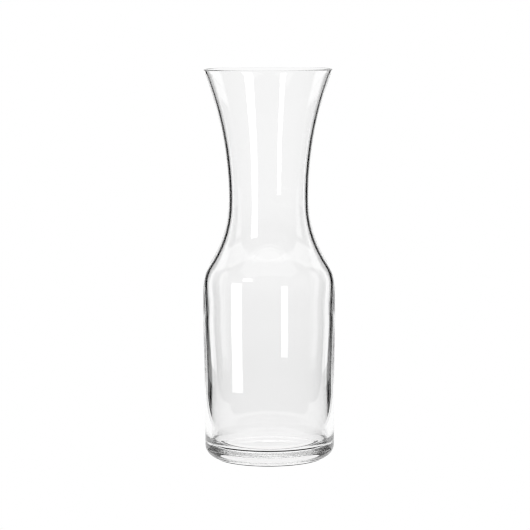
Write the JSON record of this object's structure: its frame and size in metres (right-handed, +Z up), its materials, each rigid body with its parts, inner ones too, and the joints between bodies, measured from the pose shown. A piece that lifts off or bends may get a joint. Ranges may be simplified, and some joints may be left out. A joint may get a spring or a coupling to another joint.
{
  "type": "wine decanter",
  "caption": "Flared glass wine decanter in one piece: heavy base, straight body, rounded shoulder, drawn-in neck and wide trumpet mouth with a rounded lip.",
  "frame": {"origin": "on the decanter's axis, in the plane of the ring that it stands on", "axes": "+Z up along the decanter's axis, towards the mouth; the shape is the same all round, so +X and +Y are free"},
  "size_m": [0.0952, 0.0952, 0.28],
  "materials": {
    "clear_glass": "clear soda-lime glass, blown in a mould, with a smooth fire-polished surface and lip"
  },
  "bodies": {
    "root": {"glass_vessel": "clear_glass"}
  },
  "joints": []
}
